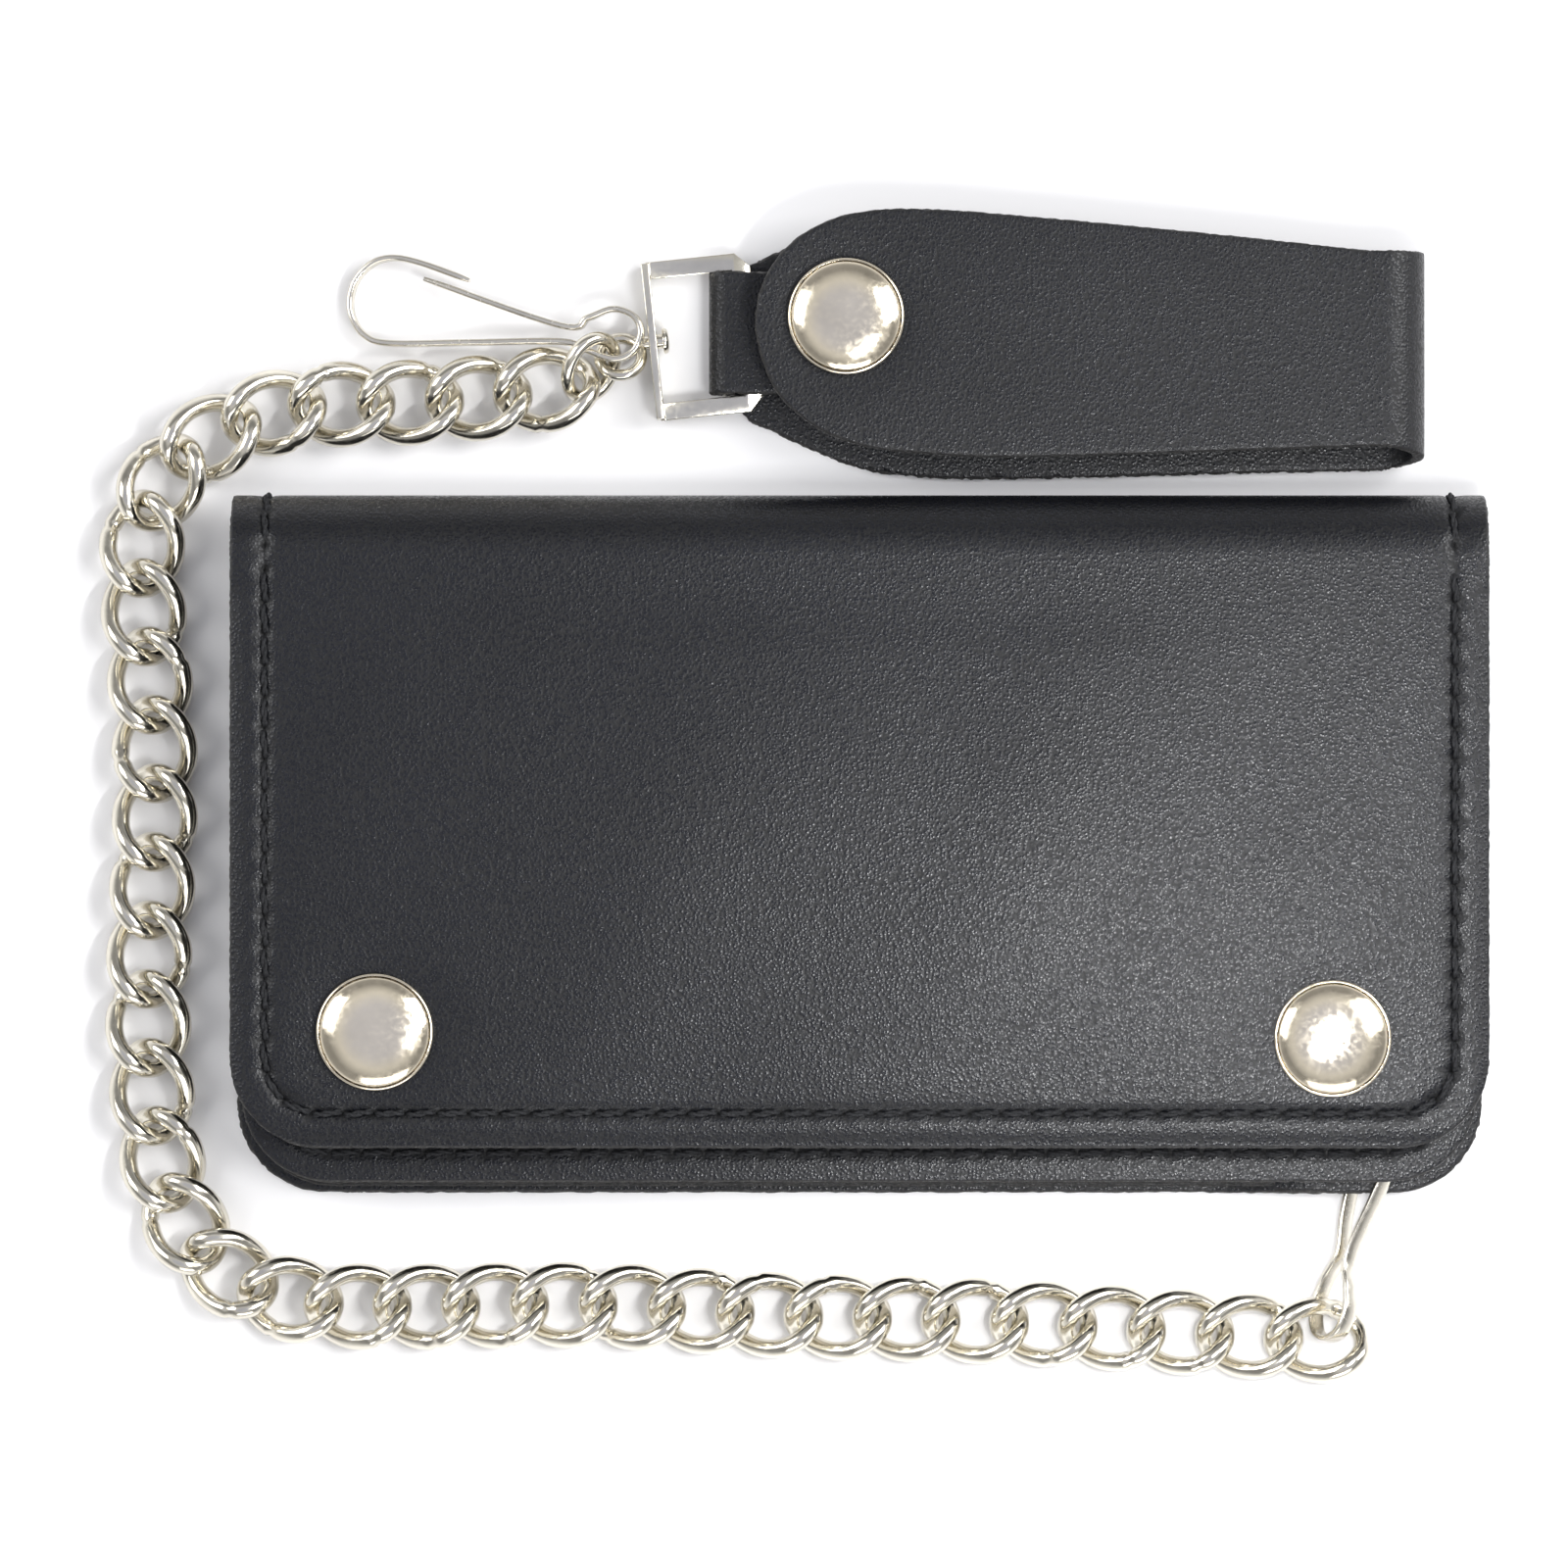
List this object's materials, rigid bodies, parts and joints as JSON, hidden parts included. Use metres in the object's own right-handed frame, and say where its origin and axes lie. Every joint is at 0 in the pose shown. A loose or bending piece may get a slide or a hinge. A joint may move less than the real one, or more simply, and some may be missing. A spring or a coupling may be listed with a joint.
{
  "type": "chain wallet",
  "caption": "Folded leather wallet with a snapped flap, joined by a spring hook and a curb chain to a second spring hook and a snapped leather belt strap.",
  "frame": {"origin": "centre of the wallet's back face, on the surface it lies on", "axes": "+X along the wallet's fold, towards the end where the chain is hooked on; +Y towards the fold; +Z out of the front cover"},
  "size_m": [0.1904, 0.1609, 0.0193],
  "materials": {
    "cover_leather": "black smooth grain leather, semi-matte",
    "lining_leather": "thin black lining leather, matte",
    "strap_leather": "black smooth grain leather with raw cut edges",
    "zip_tape": "black woven tape with a black coil",
    "zip_metal": "polished nickel plate",
    "snap_nickel": "bright polished nickel plate",
    "chain_nickel": "bright polished nickel plate",
    "hook_nickel": "bright polished nickel-plated spring steel"
  },
  "bodies": {
    "wallet_back": {"back_cover": "cover_leather", "bill_divider": "lining_leather", "card_panel": "lining_leather", "card_pocket": "lining_leather", "snap_stud_left": "snap_nickel", "snap_stud_right": "snap_nickel", "grommet": "snap_nickel"},
    "flap": {"front_cover": "cover_leather", "zip_panel": "lining_leather", "zip_tape": "zip_tape", "snap_cap_left": "snap_nickel", "snap_cap_right": "snap_nickel", "snap_socket_left": "snap_nickel", "snap_socket_right": "snap_nickel"},
    "zip_slider": {"zip_slider": "zip_metal"},
    "wallet_hook": {"wallet_spring_hook": "hook_nickel"},
    "link_01": {"link_01": "chain_nickel"},
    "link_02": {"link_02": "chain_nickel"},
    "link_03": {"link_03": "chain_nickel"},
    "link_04": {"link_04": "chain_nickel"},
    "link_05": {"link_05": "chain_nickel"},
    "link_06": {"link_06": "chain_nickel"},
    "link_07": {"link_07": "chain_nickel"},
    "link_08": {"link_08": "chain_nickel"},
    "link_09": {"link_09": "chain_nickel"},
    "link_10": {"link_10": "chain_nickel"},
    "link_11": {"link_11": "chain_nickel"},
    "link_12": {"link_12": "chain_nickel"},
    "link_13": {"link_13": "chain_nickel"},
    "link_14": {"link_14": "chain_nickel"},
    "link_15": {"link_15": "chain_nickel"},
    "link_16": {"link_16": "chain_nickel"},
    "link_17": {"link_17": "chain_nickel"},
    "link_18": {"link_18": "chain_nickel"},
    "link_19": {"link_19": "chain_nickel"},
    "link_20": {"link_20": "chain_nickel"},
    "link_21": {"link_21": "chain_nickel"},
    "link_22": {"link_22": "chain_nickel"},
    "link_23": {"link_23": "chain_nickel"},
    "link_24": {"link_24": "chain_nickel"},
    "link_25": {"link_25": "chain_nickel"},
    "link_26": {"link_26": "chain_nickel"},
    "link_27": {"link_27": "chain_nickel"},
    "link_28": {"link_28": "chain_nickel"},
    "link_29": {"link_29": "chain_nickel"},
    "link_30": {"link_30": "chain_nickel"},
    "link_31": {"link_31": "chain_nickel"},
    "link_32": {"link_32": "chain_nickel"},
    "link_33": {"link_33": "chain_nickel"},
    "link_34": {"link_34": "chain_nickel"},
    "link_35": {"link_35": "chain_nickel"},
    "end_ring": {"end_ring": "chain_nickel"},
    "strap_hook": {"strap_spring_hook": "hook_nickel"},
    "swivel_eye": {"swivel_eye": "chain_nickel"},
    "ring_frame": {"ring_frame": "chain_nickel"},
    "strap_lower": {"strap_lower_leaf": "strap_leather", "strap_snap_stud": "snap_nickel"},
    "strap_upper": {"strap_upper_leaf": "strap_leather", "strap_snap_cap": "snap_nickel", "strap_snap_socket": "snap_nickel"}
  },
  "joints": [
    {"name": "flap_fold", "type": "hinge", "parent": "wallet_back", "child": "flap", "pos_m": [0, 0.0394, 0.0168], "axis": [-1, 0, 0], "range_deg": [0, 180]},
    {"name": "zip_slide", "type": "slide", "parent": "flap", "child": "zip_slider", "axis": [1, 0, 0], "range_m": [-0.104, 0]},
    {"name": "strap_fold", "type": "hinge", "parent": "strap_lower", "child": "strap_upper", "pos_m": [0.0723, 0.0723, 0.0114], "axis": [0, 1, 0], "range_deg": [0, 170]},
    {"name": "strap_bar_turn", "type": "hinge", "parent": "ring_frame", "child": "strap_lower", "pos_m": [-0.01538, 0.07061, 0.00276], "axis": [0.1045, -0.9945, 0], "range_deg": [-18, 25]},
    {"name": "swivel_turn", "type": "hinge", "parent": "swivel_eye", "child": "ring_frame", "pos_m": [-0.03075, 0.069, 0.00216], "axis": [0.9945, 0.1045, 0], "continuous": true},
    {"name": "swivel_eye_swing", "type": "hinge", "parent": "end_ring", "child": "swivel_eye", "pos_m": [-0.0345, 0.0655, 0.002], "axis": [0, 1, 0], "range_deg": [-4, 10]},
    {"name": "strap_hook_swing", "type": "hinge", "parent": "end_ring", "child": "strap_hook", "pos_m": [-0.0352, 0.0669, 0.0055], "axis": [0, 1, 0], "range_deg": [-8, 6]},
    {"name": "end_ring_swing", "type": "hinge", "parent": "link_35", "child": "end_ring", "pos_m": [-0.0384, 0.0634, 0.00327], "axis": [0, 1, 0], "range_deg": [-9, 9]},
    {"name": "wallet_hook_swing", "type": "hinge", "parent": "wallet_back", "child": "wallet_hook", "pos_m": [0.0753, -0.0279, 0.00383], "axis": [0, 0, 1], "range_deg": [-2.5, 1]},
    {"name": "link_01_swing", "type": "hinge", "parent": "wallet_hook", "child": "link_01", "pos_m": [0.0681, -0.0688, 0.00327], "axis": [0, -1, 0], "range_deg": [-3, 3]},
    {"name": "link_02_swing", "type": "hinge", "parent": "link_01", "child": "link_02", "pos_m": [0.05864, -0.06825, 0.00327], "axis": [0, 1, 0], "range_deg": [-12, 12]},
    {"name": "link_03_swing", "type": "hinge", "parent": "link_02", "child": "link_03", "pos_m": [0.04918, -0.0677, 0.00327], "axis": [0, -1, 0], "range_deg": [-18, 18]},
    {"name": "link_04_swing", "type": "hinge", "parent": "link_03", "child": "link_04", "pos_m": [0.03972, -0.06715, 0.00327], "axis": [0, 1, 0], "range_deg": [-18, 18]},
    {"name": "link_05_swing", "type": "hinge", "parent": "link_04", "child": "link_05", "pos_m": [0.03026, -0.06659, 0.00327], "axis": [0, -1, 0], "range_deg": [-18, 18]},
    {"name": "link_06_swing", "type": "hinge", "parent": "link_05", "child": "link_06", "pos_m": [0.0208, -0.06608, 0.00327], "axis": [0, 1, 0], "range_deg": [-18, 18]},
    {"name": "link_07_swing", "type": "hinge", "parent": "link_06", "child": "link_07", "pos_m": [0.01133, -0.06572, 0.00327], "axis": [0, -1, 0], "range_deg": [-18, 18]},
    {"name": "link_08_swing", "type": "hinge", "parent": "link_07", "child": "link_08", "pos_m": [0.00186, -0.06552, 0.00327], "axis": [0, 1, 0], "range_deg": [-18, 18]},
    {"name": "link_09_swing", "type": "hinge", "parent": "link_08", "child": "link_09", "pos_m": [-0.00761, -0.0653, 0.00327], "axis": [0, -1, 0], "range_deg": [-18, 18]},
    {"name": "link_10_swing", "type": "hinge", "parent": "link_09", "child": "link_10", "pos_m": [-0.01708, -0.06484, 0.00327], "axis": [0, 1, 0], "range_deg": [-18, 18]},
    {"name": "link_11_swing", "type": "hinge", "parent": "link_10", "child": "link_11", "pos_m": [-0.02653, -0.06423, 0.00327], "axis": [0, -1, 0], "range_deg": [-18, 18]},
    {"name": "link_12_swing", "type": "hinge", "parent": "link_11", "child": "link_12", "pos_m": [-0.036, -0.06374, 0.00327], "axis": [0, 1, 0], "range_deg": [-18, 18]},
    {"name": "link_13_swing", "type": "hinge", "parent": "link_12", "child": "link_13", "pos_m": [-0.04547, -0.06369, 0.00327], "axis": [0, -1, 0], "range_deg": [-18, 18]},
    {"name": "link_14_swing", "type": "hinge", "parent": "link_13", "child": "link_14", "pos_m": [-0.05494, -0.06392, 0.00327], "axis": [0, 1, 0], "range_deg": [-18, 18]},
    {"name": "link_15_swing", "type": "hinge", "parent": "link_14", "child": "link_15", "pos_m": [-0.06442, -0.06399, 0.00327], "axis": [0, -1, 0], "range_deg": [-18, 18]},
    {"name": "link_16_swing", "type": "hinge", "parent": "link_15", "child": "link_16", "pos_m": [-0.07389, -0.06389, 0.00327], "axis": [0, 1, 0], "range_deg": [-18, 18]},
    {"name": "link_17_swing", "type": "hinge", "parent": "link_16", "child": "link_17", "pos_m": [-0.08312, -0.06189, 0.00327], "axis": [0, -1, 0], "range_deg": [-9, 9]},
    {"name": "link_18_swing", "type": "hinge", "parent": "link_17", "child": "link_18", "pos_m": [-0.09087, -0.05664, 0.00327], "axis": [1, 0, 0], "range_deg": [-9, 9]},
    {"name": "link_19_swing", "type": "hinge", "parent": "link_18", "child": "link_19", "pos_m": [-0.09516, -0.04826, 0.00327], "axis": [-1, 0, 0], "range_deg": [-18, 18]},
    {"name": "link_20_swing", "type": "hinge", "parent": "link_19", "child": "link_20", "pos_m": [-0.09713, -0.039, 0.00327], "axis": [1, 0, 0], "range_deg": [-18, 18]},
    {"name": "link_21_swing", "type": "hinge", "parent": "link_20", "child": "link_21", "pos_m": [-0.09797, -0.02957, 0.00327], "axis": [-1, 0, 0], "range_deg": [-18, 18]},
    {"name": "link_22_swing", "type": "hinge", "parent": "link_21", "child": "link_22", "pos_m": [-0.09813, -0.0201, 0.00327], "axis": [1, 0, 0], "range_deg": [-18, 18]},
    {"name": "link_23_swing", "type": "hinge", "parent": "link_22", "child": "link_23", "pos_m": [-0.09769, -0.01063, 0.00327], "axis": [-1, 0, 0], "range_deg": [-18, 18]},
    {"name": "link_24_swing", "type": "hinge", "parent": "link_23", "child": "link_24", "pos_m": [-0.0973, -0.00116, 0.00327], "axis": [1, 0, 0], "range_deg": [-18, 18]},
    {"name": "link_25_swing", "type": "hinge", "parent": "link_24", "child": "link_25", "pos_m": [-0.09698, 0.0083, 0.00327], "axis": [-1, 0, 0], "range_deg": [-18, 18]},
    {"name": "link_26_swing", "type": "hinge", "parent": "link_25", "child": "link_26", "pos_m": [-0.0974, 0.01777, 0.00327], "axis": [1, 0, 0], "range_deg": [-18, 18]},
    {"name": "link_27_swing", "type": "hinge", "parent": "link_26", "child": "link_27", "pos_m": [-0.09828, 0.0272, 0.00327], "axis": [-1, 0, 0], "range_deg": [-18, 18]},
    {"name": "link_28_swing", "type": "hinge", "parent": "link_27", "child": "link_28", "pos_m": [-0.09909, 0.03664, 0.00327], "axis": [1, 0, 0], "range_deg": [-9, 9]},
    {"name": "link_29_swing", "type": "hinge", "parent": "link_28", "child": "link_29", "pos_m": [-0.09868, 0.04607, 0.00327], "axis": [0, 1, 0], "range_deg": [-9, 9]},
    {"name": "link_30_swing", "type": "hinge", "parent": "link_29", "child": "link_30", "pos_m": [-0.09353, 0.05367, 0.00327], "axis": [0, -1, 0], "range_deg": [-18, 18]},
    {"name": "link_31_swing", "type": "hinge", "parent": "link_30", "child": "link_31", "pos_m": [-0.08525, 0.05827, 0.00327], "axis": [0, 1, 0], "range_deg": [-18, 18]},
    {"name": "link_32_swing", "type": "hinge", "parent": "link_31", "child": "link_32", "pos_m": [-0.07613, 0.06057, 0.00327], "axis": [0, -1, 0], "range_deg": [-18, 18]},
    {"name": "link_33_swing", "type": "hinge", "parent": "link_32", "child": "link_33", "pos_m": [-0.06666, 0.06064, 0.00327], "axis": [0, 1, 0], "range_deg": [-18, 18]},
    {"name": "link_34_swing", "type": "hinge", "parent": "link_33", "child": "link_34", "pos_m": [-0.05719, 0.06104, 0.00327], "axis": [0, -1, 0], "range_deg": [-18, 18]},
    {"name": "link_35_swing", "type": "hinge", "parent": "link_34", "child": "link_35", "pos_m": [-0.04776, 0.0619, 0.00327], "axis": [0, 1, 0], "range_deg": [-18, 18]}
  ]
}
